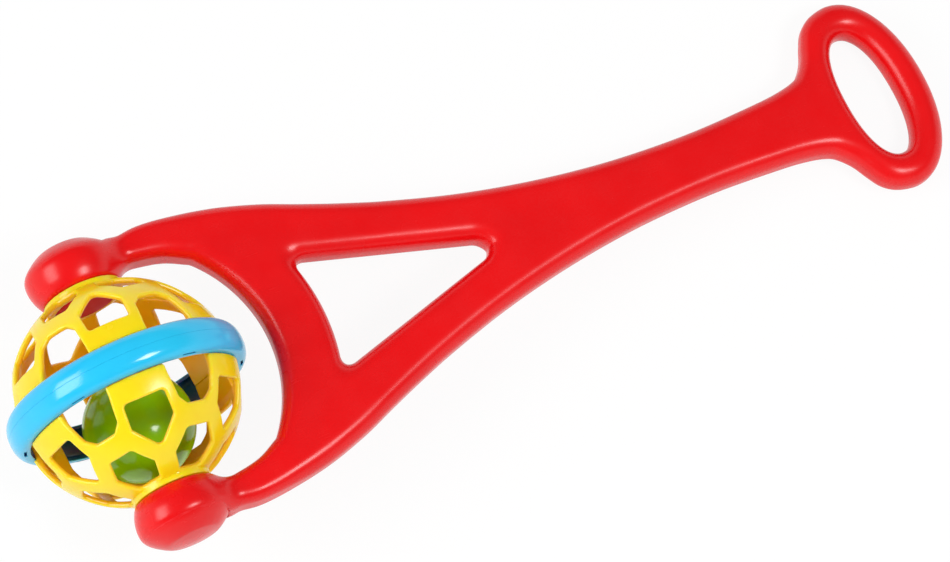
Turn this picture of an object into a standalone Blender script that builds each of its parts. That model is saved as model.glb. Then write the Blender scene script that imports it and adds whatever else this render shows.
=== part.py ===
"""A push-along rattle toy in moulded plastic: a long flat handle with an oval grip and a
yoke, a ball of open cagework that turns between the yoke's two bosses, a ring round the
ball's equator, and a loose rattle ball with beads inside the cage.

Metres, +Z up. The toy lies as it does on a table: the ring and the end of the grip touch
z = 0, +X runs from the ball to the grip and +Y along the axle. The origin is under the
middle of the whole toy. Left is the +Y side.
"""

import math

import bmesh
import bpy
import numpy as np
from mathutils import Vector, geometry

# Clearances and cuts
GAP = 0.0003
CUT_OVERRUN = 0.004

# Cagework ball: two half shells that meet at the equator
BALL_RADIUS = 0.055
BALL_WALL = 0.003
POLE_CUT = 0.0040
BELT_HALF_WIDTH = 0.0091
BELT_DEPTH = 0.0022
BELT_WALL = 0.0028
HUB_RADIUS = 0.0186
HUB_LENGTH = 0.0027
COLLAR_RADIUS = 0.0197
COLLAR_HEIGHT = 0.0027
WINDOW_CORNER = 0.0022
WINDOWS_ROUND = 6
WINDOW_TURN = 32.6

# Ring: two half shells that clip over the cage's belt
RING_PROUD = 0.0055
RING_EDGE_PROUD = 0.0004
RING_WALL = 0.0018
CLIP_SLOT_LENGTH = 0.0075
CLIP_SLOT_WIDTH = 0.0013
CLIP_SLOT_INSET = 0.0011

# Axle plugs: a cup in each boss, which carries the cage's end ring
PLUG_RADIUS = 0.0157
PLUG_WALL = 0.0022
PLUG_HEAD_RADIUS = 0.0178
PLUG_HEAD_THICKNESS = 0.0025
PLUG_CHAMFER = 0.0008

# Bosses at the ends of the yoke, and their end caps
BOSS_RADIUS = 0.0238
BOSS_LENGTH = 0.0192
CAP_RADIUS = 0.0222
CAP_HEIGHT = 0.0064
CAP_SPIGOT_RADIUS = 0.0196
CAP_SPIGOT_LENGTH = 0.0020

# Handle
HANDLE_LENGTH = 0.4438
HANDLE_THICKNESS = 0.020
EDGE_ROUND = 0.0075
ARM_ROUND_LIMIT = 0.0062
ARM_END_ROUND = 0.0020
ARM_SETBACK = 0.0055
ARM_WIDTH_AT_BOSS = 0.0128
YOKE_CLEARANCE = 0.0135
YOKE_BAND = 0.0300
SHOULDER_BULGE = 0.0029
WAIST_HALF_WIDTH = 0.0162

# Triangular cut-out in the yoke
CUTOUT_LENGTH = 0.0890
CUTOUT_BASE_HALF_WIDTH = 0.0313
CUTOUT_TIP_HALF_WIDTH = 0.0040
CUTOUT_BASE_CORNER = 0.0045
CUTOUT_TIP_CORNER = 0.0050

# Oval grip
GRIP_HALF_LENGTH = 0.0311
GRIP_HALF_WIDTH = 0.0528
GRIP_SIDE_BAR = 0.0169
GRIP_END_BAR = 0.0181
GRIP_ROUND = 0.0072

# Rattle ball and its beads
RATTLE_RADIUS = 0.0275
RATTLE_WALL = 0.0020
RATTLE_PLUG_CLEARANCE = 0.0085
RATTLE_TONGUE_LENGTH = 0.0022
RATTLE_TONGUE_WALL = 0.0008
BEAD_RADIUS = 0.0035
BEADS_ROUND = 5

# Sizes that follow from those above
BELT_RADIUS = BALL_RADIUS - BELT_DEPTH
BELT_BORE = BELT_RADIUS - BELT_WALL
BALL_BORE = BALL_RADIUS - BALL_WALL
POLE_FACE = BALL_RADIUS - POLE_CUT
COLLAR_FACE = POLE_FACE + COLLAR_HEIGHT
RING_RADIUS = BALL_RADIUS + RING_PROUD
RING_HALF_WIDTH = BELT_HALF_WIDTH - GAP
RING_EDGE = math.sqrt(BALL_RADIUS**2 - RING_HALF_WIDTH**2) + RING_EDGE_PROUD
BOSS_INNER_FACE = COLLAR_FACE + GAP
BOSS_OUTER_FACE = BOSS_INNER_FACE + BOSS_LENGTH
CAP_SEAT = BOSS_OUTER_FACE - CAP_SPIGOT_LENGTH - GAP
HEAD_SEAT = CAP_SEAT - PLUG_HEAD_THICKNESS - 2 * GAP
HUB_END = POLE_FACE - HUB_LENGTH
PLUG_INNER_END = HUB_END - GAP
YOKE_RADIUS = RING_RADIUS + YOKE_CLEARANCE
CUTOUT_BASE = YOKE_RADIUS + YOKE_BAND
CUTOUT_TIP = CUTOUT_BASE + CUTOUT_LENGTH
ARM_INNER_EDGE = BOSS_INNER_FACE + ARM_SETBACK
SHOULDER_HALF_WIDTH = ARM_INNER_EDGE + ARM_WIDTH_AT_BOSS + SHOULDER_BULGE
GRIP_CENTRE = HANDLE_LENGTH - GRIP_HALF_LENGTH
ROUND_LIMIT_SHARE = 0.47
BAR_ROUND = min(GRIP_ROUND, ROUND_LIMIT_SHARE * min(GRIP_SIDE_BAR, GRIP_END_BAR, HANDLE_THICKNESS))
PLATE_ROUND = min(EDGE_ROUND, ROUND_LIMIT_SHARE * HANDLE_THICKNESS)
ARM_ROUND = min(ARM_ROUND_LIMIT, PLATE_ROUND, ROUND_LIMIT_SHARE * ARM_WIDTH_AT_BOSS)
RATTLE_OFFSET = BALL_BORE - GAP - RATTLE_RADIUS
RATTLE_SIDE_OFFSET = PLUG_INNER_END - RATTLE_RADIUS - RATTLE_PLUG_CLEARANCE
RATTLE_DROP_IN_BORE = math.sqrt(RATTLE_OFFSET**2 - RATTLE_SIDE_OFFSET**2)
RATTLE_DROP_ON_BELT = BELT_BORE - GAP - RATTLE_RADIUS
RATTLE_DROP = min(RATTLE_DROP_IN_BORE, RATTLE_DROP_ON_BELT)
RATTLE_BORE = RATTLE_RADIUS - RATTLE_WALL
RATTLE_TONGUE_FACE = RATTLE_BORE + RATTLE_TONGUE_WALL
BEAD_ORBIT = RATTLE_BORE - GAP - BEAD_RADIUS

# Facets: sides round a full turn, and steps along a quarter arc
BALL_SIDES = 48
RING_SIDES = 60
BOSS_SIDES = 36
RATTLE_SIDES = 28
RATTLE_STEPS = 6
BORE_SIDES = 32
BALL_STEPS = 7
RING_STEPS = 4
ROUND_STEPS = 3
OUTLINE_STEPS = 2
OVAL_STEPS = 12
GRIP_HOLE_SIDES = 40
ARM_END_STEPS = 6
YOKE_ARC_STEPS = 8
CUTOUT_CORNER_STEPS = 4
CUTOUT_BASE_STEPS = 7
WINDOW_CORNER_STEPS = 2
SAME_POINT = 1e-7

# Powers of the flattened ovals: 2 is an ellipse, and more is squarer
OVAL_POWER = 2.1
GRIP_HOLE_POWER = 2.2
RING_POWER = 2.3

# Windows of the cage: latitude and half width, both in degrees, from the edge nearest the
# equator to the one nearest the pole. The first kind runs across the equator.
EQUATOR_WINDOW = ((-2.0, 14.8), (14.4, 13.6), (27.2, 11.2), (31.6, 6.2))
MIDDLE_WINDOW = ((21.2, 11.6), (34.3, 13.6), (48.2, 0.0))
POLAR_WINDOW = ((43.5, 9.0), (55.0, 20.0), (67.6, 15.8))

# Outer edge of one arm, from the boss: shares of the yoke's radius and of the shoulder
ARM_OUTLINE_SHARES = (
    (0.297, 0.971),
    (0.500, 0.996),
    (0.770, 0.974),
    (1.027, 0.929),
    (1.311, 0.844),
    (1.568, 0.743),
    (1.824, 0.646),
    (2.108, 0.549),
)
# Stem from the yoke to the neck: share of the way, and of the width still to lose
STEM_OUTLINE_SHARES = ((0.140, 0.637), (0.279, 0.363), (0.419, 0.163), (0.558, 0.044), (0.721, 0.0))
# Neck: share of the way, and of the width gained towards the grip
NECK_OUTLINE_SHARES = ((0.884, 0.042), (0.953, 0.082))
# Shoulder of the grip: shares of the oval's half length and half width, from its middle
GRIP_SHOULDER_SHARES = (
    (-1.112, 0.411),
    (-0.952, 0.477),
    (-0.801, 0.587),
    (-0.683, 0.723),
    (-0.535, 0.864),
    (-0.311, 0.958),
    (0.0, 1.0),
)
# Inner edge of one arm between the yoke's arc and the boss: shares of the yoke's radius,
# and of the way from the arm's inner edge to the arc's end
ARM_INNER_SHARES = ((0.590, 0.42), (0.430, 0.16), (0.240, 0.02))
YOKE_ARC_END = 42.0
# Side of a boss: share of its length from the inner face, and share of its radius
BOSS_PROFILE_SHARES = (
    (0.0, 0.80),
    (0.06, 0.88),
    (0.24, 0.96),
    (0.50, 1.0),
    (0.74, 0.99),
    (0.92, 0.955),
)
# Where the edges' rounding has grown to its full size: share of the boss's radius, of the
# yoke's radius past its middle, and of the grip's half length
EDGE_GROWTH_SHARES = (0.6, 0.5, 0.8)
# Dome of a cap: share of its radius, and share of its height
CAP_DOME_SHARES = ((1.0, 0.0), (0.965, 0.22), (0.85, 0.52), (0.64, 0.80), (0.36, 0.95), (0.0, 1.0))


def clear_scene():
    for item in list(bpy.data.objects):
        bpy.data.objects.remove(item, do_unlink=True)


def plastic(name, colour, roughness):
    """A glossy moulded plastic; colour is linear RGB."""
    material = bpy.data.materials.new(name)
    material.use_nodes = True
    shader = material.node_tree.nodes["Principled BSDF"]
    shader.inputs["Base Color"].default_value = (*colour, 1.0)
    shader.inputs["Roughness"].default_value = roughness
    shader.inputs["Metallic"].default_value = 0.0
    return material


def new_object(name, bm, material, smooth_angle=35.0):
    """Turns a closed bmesh into an object with its faces pointing out."""
    bmesh.ops.recalc_face_normals(bm, faces=bm.faces[:])
    mesh = bpy.data.meshes.new(name)
    bm.to_mesh(mesh)
    bm.free()
    mesh.shade_smooth()
    mesh.set_sharp_from_angle(angle=math.radians(smooth_angle))
    if material:
        mesh.materials.append(material)
    item = bpy.data.objects.new(name, mesh)
    bpy.context.collection.objects.link(item)
    return item


def make_cutter(name, bm):
    item = new_object(name, bm, None)
    item.hide_render = True
    item.display_type = "WIRE"
    return item


def add_boolean(item, other, operation):
    modifier = item.modifiers.new(other.name, "BOOLEAN")
    modifier.operation = operation
    modifier.object = other
    modifier.solver = "EXACT"


def turn_profile(bm, profile, sides, side=1.0):
    """Turns a closed outline of (axial, radial) points round the Y axis. A radial value of
    zero is one point on the axis. side is -1 for the right-hand piece."""
    angles = [2.0 * math.pi * k / sides for k in range(sides)]
    rings = []
    for along, radius in profile:
        if radius == 0:
            point = bm.verts.new((0.0, side * along, 0.0))
            rings.append([point] * sides)
        else:
            rings.append(
                [bm.verts.new((radius * math.sin(a), side * along, radius * math.cos(a))) for a in angles]
            )
    for first, second in zip(rings, rings[1:] + rings[:1]):
        for k in range(sides):
            corners = [first[k], first[(k + 1) % sides], second[(k + 1) % sides], second[k]]
            unique = list(dict.fromkeys(corners))
            if len(unique) > 2:
                bm.faces.new(unique)


def turned_piece(name, profile, sides, material, side=1.0):
    bm = bmesh.new()
    turn_profile(bm, profile, sides, side)
    return new_object(name, bm, material)


def arc(radius, start, end, steps):
    """Points (axial, radial) on a circle about the centre, by latitude in degrees."""
    angles = np.radians(np.linspace(start, end, steps + 1))
    return [(radius * math.sin(a), radius * math.cos(a)) for a in angles]


def smooth_through(points, steps):
    """Catmull-Rom curve through the points, with steps points in each stretch."""
    points = [Vector(p) for p in points]
    padded = [2 * points[0] - points[1]] + points + [2 * points[-1] - points[-2]]
    result = []
    for a, b, c, d in zip(padded, padded[1:], padded[2:], padded[3:]):
        for k in range(steps):
            t = k / steps
            point = 2 * b + (c - a) * t
            point += (2 * a - 5 * b + 4 * c - d) * t**2
            point += (3 * b - a - 3 * c + d) * t**3
            result.append(0.5 * point)
    result.append(points[-1])
    return result


def round_corners(points, radii, steps):
    """Closed outline with each corner replaced by an arc of its radius, limited to what
    the two sides beside it can hold."""
    result = []
    count = len(points)
    for k in range(count):
        before, corner, after = Vector(points[k - 1]), Vector(points[k]), Vector(points[(k + 1) % count])
        to_before = (before - corner).normalized()
        to_after = (after - corner).normalized()
        half = 0.5 * to_before.angle(to_after)
        reach = min((before - corner).length, (after - corner).length) / 2
        radius = min(radii[k], reach * math.tan(half))
        setback = radius / math.tan(half)
        centre = corner + (to_before + to_after).normalized() * (radius / math.sin(half))
        start = corner + to_before * setback - centre
        turn = start.angle_signed(corner + to_after * setback - centre)
        for j in range(steps + 1):
            swing = -turn * j / steps
            result.append(
                centre
                + Vector(
                    (
                        start.x * math.cos(swing) - start.y * math.sin(swing),
                        start.x * math.sin(swing) + start.y * math.cos(swing),
                    )
                )
            )
    return result


def flattened(value, power):
    """Sine or cosine bent towards a squarer oval; a value that is zero but for rounding
    stays zero."""
    if abs(value) < SAME_POINT:
        return 0.0
    return math.copysign(abs(value) ** (2.0 / power), value)


def oval(half_length, half_width, power, start, end, steps):
    """Stretch of a superellipse, by angle in degrees from +X, both ends included."""
    result = []
    for a in np.radians(np.linspace(start, end, steps + 1)):
        along = half_length * flattened(math.cos(a), power)
        across = half_width * flattened(math.sin(a), power)
        result.append(Vector((along, across)))
    return result


# Handle


def handle_outline():
    """Closed outer edge of the handle in its own plane, ball centre at the origin: from the
    end of the grip along the left side, round the yoke, and back along the right side."""
    shoulder = [Vector((YOKE_RADIUS * x, SHOULDER_HALF_WIDTH * y)) for x, y in ARM_OUTLINE_SHARES]
    neck_start = GRIP_CENTRE + GRIP_HALF_LENGTH * GRIP_SHOULDER_SHARES[0][0]
    way = neck_start - shoulder[-1].x
    width_lost = shoulder[-1].y - WAIST_HALF_WIDTH
    width_gained = GRIP_HALF_WIDTH - WAIST_HALF_WIDTH
    stem = []
    for x, y in STEM_OUTLINE_SHARES:
        stem.append(Vector((shoulder[-1].x + way * x, WAIST_HALF_WIDTH + width_lost * y)))
    neck = []
    for x, y in NECK_OUTLINE_SHARES:
        neck.append(Vector((shoulder[-1].x + way * x, WAIST_HALF_WIDTH + width_gained * y)))
    grip = []
    for x, y in GRIP_SHOULDER_SHARES:
        grip.append(Vector((GRIP_CENTRE + GRIP_HALF_LENGTH * x, GRIP_HALF_WIDTH * y)))
    arm_end_radius = ARM_WIDTH_AT_BOSS / 2
    arm_start = Vector((0.0, ARM_INNER_EDGE + ARM_WIDTH_AT_BOSS))
    side = smooth_through([arm_start] + shoulder + stem + neck + grip, OUTLINE_STEPS)
    grip_end = oval(GRIP_HALF_LENGTH, GRIP_HALF_WIDTH, OVAL_POWER, 0, 90, OVAL_STEPS)
    tip = [Vector((GRIP_CENTRE, 0)) + p for p in grip_end]
    arc_end = math.radians(YOKE_ARC_END)
    arc_corner = Vector((YOKE_RADIUS * math.cos(arc_end), YOKE_RADIUS * math.sin(arc_end)))
    inner = [arc_corner]
    for x, y in ARM_INNER_SHARES:
        inner.append(Vector((YOKE_RADIUS * x, ARM_INNER_EDGE + (arc_corner.y - ARM_INNER_EDGE) * y)))
    inner.append(Vector((0.0, ARM_INNER_EDGE)))
    inner_edge = smooth_through(inner, OUTLINE_STEPS)
    end_angles = np.radians(np.linspace(90, 270, ARM_END_STEPS + 1))[1:-1]
    arm_end = [
        Vector((arm_end_radius * math.cos(a), ARM_INNER_EDGE + arm_end_radius * (1 + math.sin(a))))
        for a in end_angles
    ]
    yoke_angles = np.radians(np.linspace(YOKE_ARC_END, 0, YOKE_ARC_STEPS + 1))[1:]
    yoke_arc = [Vector((YOKE_RADIUS * math.cos(a), YOKE_RADIUS * math.sin(a))) for a in yoke_angles]
    left = tip[:-1] + side[::-1] + arm_end + inner_edge[::-1] + yoke_arc
    right = [Vector((p.x, -p.y)) for p in left[1:-1]]
    return left + right[::-1]


def cutout_outline():
    """Triangle with an arc for its base, which follows the yoke round the ball."""
    base_angle = math.asin(CUTOUT_BASE_HALF_WIDTH / CUTOUT_BASE)
    corner_x = CUTOUT_BASE * math.cos(base_angle)
    sharp = [
        (corner_x, -CUTOUT_BASE_HALF_WIDTH),
        (CUTOUT_TIP, -CUTOUT_TIP_HALF_WIDTH),
        (CUTOUT_TIP, CUTOUT_TIP_HALF_WIDTH),
        (corner_x, CUTOUT_BASE_HALF_WIDTH),
    ]
    radii = (CUTOUT_BASE_CORNER, CUTOUT_TIP_CORNER, CUTOUT_TIP_CORNER, CUTOUT_BASE_CORNER)
    rounded = round_corners(sharp, radii, CUTOUT_CORNER_STEPS)
    inner_angle = math.asin(rounded[-1].y / CUTOUT_BASE)
    base = [
        Vector((CUTOUT_BASE * math.cos(a), CUTOUT_BASE * math.sin(a)))
        for a in np.linspace(inner_angle, -inner_angle, CUTOUT_BASE_STEPS + 1)[1:-1]
    ]
    bulge = CUTOUT_BASE * math.cos(inner_angle) - corner_x
    return rounded + [Vector((p.x - bulge, p.y)) for p in base]


def grip_hole_outline():
    half_length = GRIP_HALF_LENGTH - GRIP_SIDE_BAR
    half_width = GRIP_HALF_WIDTH - GRIP_END_BAR
    points = oval(half_length, half_width, GRIP_HOLE_POWER, 0, 360, GRIP_HOLE_SIDES)[:-1]
    return [Vector((GRIP_CENTRE + p.x, p.y)) for p in points]


def ease(value):
    value = min(1.0, max(0.0, value))
    return value * value * (3.0 - 2.0 * value)


def edge_radius(x):
    """Rounding of the handle's edges at x: small inside the boss, what the arm can hold
    beside it, full along the yoke and stem, and a nearly round bar at the grip."""
    boss_share, yoke_share, grip_share = EDGE_GROWTH_SHARES
    at_boss = ease(x / (boss_share * BOSS_RADIUS))
    at_yoke = ease((x / YOKE_RADIUS - yoke_share) / yoke_share)
    at_grip = ease((x - GRIP_CENTRE + GRIP_HALF_LENGTH) / (grip_share * GRIP_HALF_LENGTH))
    radius = ARM_END_ROUND + (ARM_ROUND - ARM_END_ROUND) * at_boss
    radius += (PLATE_ROUND - ARM_ROUND) * at_yoke
    return radius + (BAR_ROUND - PLATE_ROUND) * at_grip


def inset_loop(loop, outward, share):
    """Moves each point of a closed loop into the material, by a share of the rounding at
    that point. outward is +1 for the outer edge and -1 for a hole's edge."""
    points = np.array([(p.x, p.y) for p in loop])
    tangent = np.roll(points, -1, axis=0) - np.roll(points, 1, axis=0)
    tangent /= np.linalg.norm(tangent, axis=1)[:, None]
    area = 0.5 * np.sum(points[:, 0] * np.roll(points[:, 1], -1) - np.roll(points[:, 0], -1) * points[:, 1])
    normal = np.stack([tangent[:, 1], -tangent[:, 0]], axis=1) * math.copysign(1.0, area) * outward
    radius = np.array([edge_radius(x) for x in points[:, 0]])
    return points - normal * (radius * share)[:, None], radius


def handle_plate(bm):
    """Flat handle with rounded edges: rings of points round each edge, then flat faces."""
    loops = ((handle_outline(), 1.0), (cutout_outline(), -1.0), (grip_hole_outline(), -1.0))
    half = HANDLE_THICKNESS / 2
    for loop, outward in loops:
        rings = []
        levels = [(1, k) for k in range(ROUND_STEPS + 1)] + [(-1, k) for k in range(ROUND_STEPS, -1, -1)]
        for face, k in levels:
            angle = 0.5 * math.pi * k / ROUND_STEPS
            points, radius = inset_loop(loop, outward, 1.0 - math.sin(angle))
            heights = face * (half - radius * (1.0 - math.cos(angle)))
            rings.append([bm.verts.new((p[0], p[1], h)) for p, h in zip(points, heights)])
        for first, second in zip(rings, rings[1:]):
            for k in range(len(first)):
                nxt = (k + 1) % len(first)
                bm.faces.new((first[k], first[nxt], second[nxt], second[k]))
    flat_edges = [e for e in bm.edges if e.is_boundary]
    for face in (1, -1):
        edges = [e for e in flat_edges if e.verts[0].co.z * face > 0]
        verts = list({v for e in edges for v in e.verts})
        index = {v: k for k, v in enumerate(verts)}
        flat = geometry.delaunay_2d_cdt(
            [v.co.xy for v in verts],
            [(index[e.verts[0]], index[e.verts[1]]) for e in edges],
            [],
            0,
            SAME_POINT,
        )
        corners = flat[0]
        for triangle in flat[2]:
            middle = sum((corners[k] for k in triangle), Vector((0, 0))) / len(triangle)
            if inside_plate(middle, edges):
                bm.faces.new([verts[flat[3][k][0]] for k in triangle])


def inside_plate(point, edges):
    """True where a ray along +X crosses the flat face's edges an odd number of times."""
    crossings = 0
    for e in edges:
        a, b = e.verts[0].co, e.verts[1].co
        if (a.y > point.y) != (b.y > point.y):
            if a.x + (point.y - a.y) * (b.x - a.x) / (b.y - a.y) > point.x:
                crossings += 1
    return crossings % 2 == 1


def boss_profile():
    side = [(BOSS_INNER_FACE + BOSS_LENGTH * y, BOSS_RADIUS * r) for y, r in BOSS_PROFILE_SHARES]
    return [(BOSS_INNER_FACE, 0)] + side + [(BOSS_OUTER_FACE, CAP_RADIUS), (BOSS_OUTER_FACE, 0)]


def bore_profile():
    """Stepped bore of a boss: the plug's shank, its head, and the cap's spigot."""
    shank = PLUG_RADIUS + GAP
    head = PLUG_HEAD_RADIUS + GAP
    spigot = CAP_SPIGOT_RADIUS + GAP
    inner = BOSS_INNER_FACE - CUT_OVERRUN
    outer = BOSS_OUTER_FACE + CUT_OVERRUN
    return [
        (inner, 0),
        (inner, shank),
        (HEAD_SEAT, shank),
        (HEAD_SEAT, head),
        (CAP_SEAT, head),
        (CAP_SEAT, spigot),
        (outer, spigot),
        (outer, 0),
    ]


def make_handle(material):
    bm = bmesh.new()
    handle_plate(bm)
    handle = new_object("handle", bm, material)
    for name, side in (("left", 1.0), ("right", -1.0)):
        bm = bmesh.new()
        turn_profile(bm, boss_profile(), BOSS_SIDES, side)
        add_boolean(handle, make_cutter("boss_form_" + name, bm), "UNION")
    for name, side in (("left", 1.0), ("right", -1.0)):
        bm = bmesh.new()
        turn_profile(bm, bore_profile(), BORE_SIDES, side)
        add_boolean(handle, make_cutter("boss_bore_" + name, bm), "DIFFERENCE")
    return handle


# Boss caps and axle plugs


def cap_profile():
    face = BOSS_OUTER_FACE + GAP
    spigot_end = CAP_SEAT + GAP
    dome = [(face + CAP_HEIGHT * h, CAP_RADIUS * r) for r, h in CAP_DOME_SHARES]
    return [(spigot_end, 0), (spigot_end, CAP_SPIGOT_RADIUS), (face, CAP_SPIGOT_RADIUS)] + dome


def plug_profile():
    """A cup with a flange, open towards the cap; its closed end faces into the cage."""
    head = HEAD_SEAT + GAP
    hollow = PLUG_RADIUS - PLUG_WALL
    return [
        (PLUG_INNER_END, 0),
        (PLUG_INNER_END, PLUG_RADIUS - PLUG_CHAMFER),
        (PLUG_INNER_END + PLUG_CHAMFER, PLUG_RADIUS),
        (head, PLUG_RADIUS),
        (head, PLUG_HEAD_RADIUS),
        (head + PLUG_HEAD_THICKNESS, PLUG_HEAD_RADIUS),
        (head + PLUG_HEAD_THICKNESS, hollow),
        (PLUG_INNER_END + PLUG_WALL, hollow),
        (PLUG_INNER_END + PLUG_WALL, 0),
    ]


# Cagework ball


def cage_profile():
    """Section of one half shell, from the equator out to the pole and back inside."""
    seam = GAP / 2
    belt_latitude = math.degrees(math.asin(BELT_HALF_WIDTH / BALL_RADIUS))
    pole_latitude = math.degrees(math.asin(POLE_FACE / BALL_RADIUS))
    inner_belt = math.degrees(math.acos(BELT_BORE / BALL_BORE))
    inner_pole = math.degrees(math.acos(HUB_RADIUS / BALL_BORE))
    bore = PLUG_RADIUS + GAP
    outer = arc(BALL_RADIUS, belt_latitude, pole_latitude, BALL_STEPS)
    inner = arc(BALL_BORE, inner_pole, inner_belt, BALL_STEPS)
    return (
        [(seam, BELT_RADIUS), (BELT_HALF_WIDTH, BELT_RADIUS)]
        + outer
        + [(POLE_FACE, COLLAR_RADIUS), (COLLAR_FACE, COLLAR_RADIUS), (COLLAR_FACE, bore)]
        + [(HUB_END, bore), (HUB_END, HUB_RADIUS)]
        + inner
        + [(seam, BELT_BORE)]
    )


def window_prism(bm, corners, azimuth, side):
    """Radial cutter for one window: its outline on the ball, rounded, then carried out
    along rays from the ball's centre, from inside the shell to outside it."""
    latitudes = [lat for lat, _ in corners]
    middle = math.radians((min(latitudes) + max(latitudes)) / 2)
    directions = []
    left = [(lat, -width) for lat, width in corners if width > 0]
    for lat, offset in [(lat, width) for lat, width in corners] + left[::-1]:
        a = math.radians(lat)
        b = math.radians(offset)
        directions.append(Vector((math.cos(a) * math.sin(b), math.sin(a), math.cos(a) * math.cos(b))))
    centre = Vector((0, math.sin(middle), math.cos(middle)))
    up = Vector((0, math.cos(middle), -math.sin(middle)))
    right = Vector((1, 0, 0))
    flat = [(d.dot(right) / d.dot(centre), d.dot(up) / d.dot(centre)) for d in directions]
    flat = round_corners(flat, [WINDOW_CORNER / BALL_RADIUS] * len(flat), WINDOW_CORNER_STEPS)
    turn = math.radians(azimuth)
    rings = []
    for radius in (BELT_BORE - CUT_OVERRUN, BALL_RADIUS + CUT_OVERRUN):
        ring = []
        for p in flat:
            ray = (centre + right * p.x + up * p.y) * radius
            x = ray.x * math.cos(turn) + ray.z * math.sin(turn)
            z = -ray.x * math.sin(turn) + ray.z * math.cos(turn)
            ring.append(bm.verts.new((x, side * ray.y, z)))
        rings.append(ring)
    for k in range(len(flat)):
        nxt = (k + 1) % len(flat)
        bm.faces.new((rings[0][k], rings[0][nxt], rings[1][nxt], rings[1][k]))
    bm.faces.new(rings[0])
    bm.faces.new(rings[1])


def make_cage_half(name, side, material):
    item = turned_piece("cage_half_" + name, cage_profile(), BALL_SIDES, material, side)
    pitch = 360.0 / WINDOWS_ROUND
    bm = bmesh.new()
    for k in range(WINDOWS_ROUND):
        window_prism(bm, EQUATOR_WINDOW, WINDOW_TURN + pitch * k, side)
        window_prism(bm, MIDDLE_WINDOW, WINDOW_TURN + pitch * (k + 0.5), side)
        window_prism(bm, POLAR_WINDOW, WINDOW_TURN + pitch * k, side)
    add_boolean(item, make_cutter("cage_windows_" + name, bm), "DIFFERENCE")
    return item


# Ring


def ring_profile():
    """Section of one half of the ring: a quarter of a flattened tube, hollow underneath."""
    seam = GAP / 2
    seat = BELT_RADIUS + GAP
    inner_width = RING_HALF_WIDTH - RING_WALL
    inner_top = RING_RADIUS - RING_WALL
    outside, inside = [], []
    for a in np.linspace(0, 0.5 * math.pi, RING_STEPS + 1):
        along = flattened(math.cos(a), RING_POWER)
        rise = flattened(math.sin(a), RING_POWER)
        outside.append((max(seam, RING_HALF_WIDTH * along), RING_EDGE + (RING_RADIUS - RING_EDGE) * rise))
        inside.insert(0, (max(seam, inner_width * along), RING_EDGE + (inner_top - RING_EDGE) * rise))
    return [(RING_HALF_WIDTH, seat)] + outside + inside + [(inner_width, seat)]


def make_ring_half(name, side, material):
    item = turned_piece("ring_half_" + name, ring_profile(), RING_SIDES, material, side)
    pitch = 360.0 / WINDOWS_ROUND
    middle = RING_EDGE + CLIP_SLOT_INSET
    bm = bmesh.new()
    for k in range(WINDOWS_ROUND):
        turn = math.radians(WINDOW_TURN + pitch * k)
        along = Vector((math.cos(turn), 0, -math.sin(turn)))
        out = Vector((math.sin(turn), 0, math.cos(turn)))
        inner = side * (RING_HALF_WIDTH - 2 * RING_WALL)
        outer = side * (RING_HALF_WIDTH + CUT_OVERRUN)
        corners = []
        for y in (inner, outer):
            for a, b in ((-1, -1), (1, -1), (1, 1), (-1, 1)):
                point = out * (middle + b * CLIP_SLOT_WIDTH / 2) + along * (a * CLIP_SLOT_LENGTH / 2)
                corners.append(bm.verts.new((point.x, y, point.z)))
        for face in ((0, 1, 2, 3), (4, 5, 6, 7), (0, 1, 5, 4), (1, 2, 6, 5), (2, 3, 7, 6), (3, 0, 4, 7)):
            bm.faces.new([corners[j] for j in face])
    add_boolean(item, make_cutter("clip_slots_" + name, bm), "DIFFERENCE")
    return item


# Rattle ball and beads


def rattle_profile(with_tongue):
    """Half shell of the rattle ball. The lower half's wall ends in a tongue, and the upper
    half has a recess that goes round it."""
    seam = GAP / 2
    outer = arc(RATTLE_RADIUS, math.degrees(math.asin(seam / RATTLE_RADIUS)), 90, RATTLE_STEPS)
    outer[-1] = (RATTLE_RADIUS, 0)
    if with_tongue:
        inner_start = 0.0
        tongue = -RATTLE_TONGUE_LENGTH
        joint = [(tongue, RATTLE_BORE), (tongue, RATTLE_TONGUE_FACE), (seam, RATTLE_TONGUE_FACE)]
    else:
        recess = RATTLE_TONGUE_LENGTH + GAP
        inner_start = math.degrees(math.asin(recess / RATTLE_BORE))
        joint = [(recess, RATTLE_TONGUE_FACE + GAP), (seam, RATTLE_TONGUE_FACE + GAP)]
    inner = arc(RATTLE_BORE, 90, inner_start, RATTLE_STEPS)
    inner[0] = (RATTLE_BORE, 0)
    return outer + inner + joint


def make_bead(name, place, material):
    bm = bmesh.new()
    bmesh.ops.create_icosphere(bm, subdivisions=2, radius=BEAD_RADIUS)
    bead = new_object(name, bm, material, 60.0)
    bead.location = place
    return bead


# Assembly


def rest_pitch():
    """Angle at which the handle dips so that the grip's end rests level with the ring."""
    centre_x = HANDLE_LENGTH - BAR_ROUND
    centre_z = HANDLE_THICKNESS / 2 - BAR_ROUND
    reach = math.hypot(centre_x, centre_z)
    return math.asin((RING_RADIUS - BAR_ROUND) / reach) - math.atan2(centre_z, centre_x)


def axis_empty(name, place, parent=None):
    item = bpy.data.objects.new(name, None)
    item.parent = parent
    item.location = place
    bpy.context.collection.objects.link(item)
    return item


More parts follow.
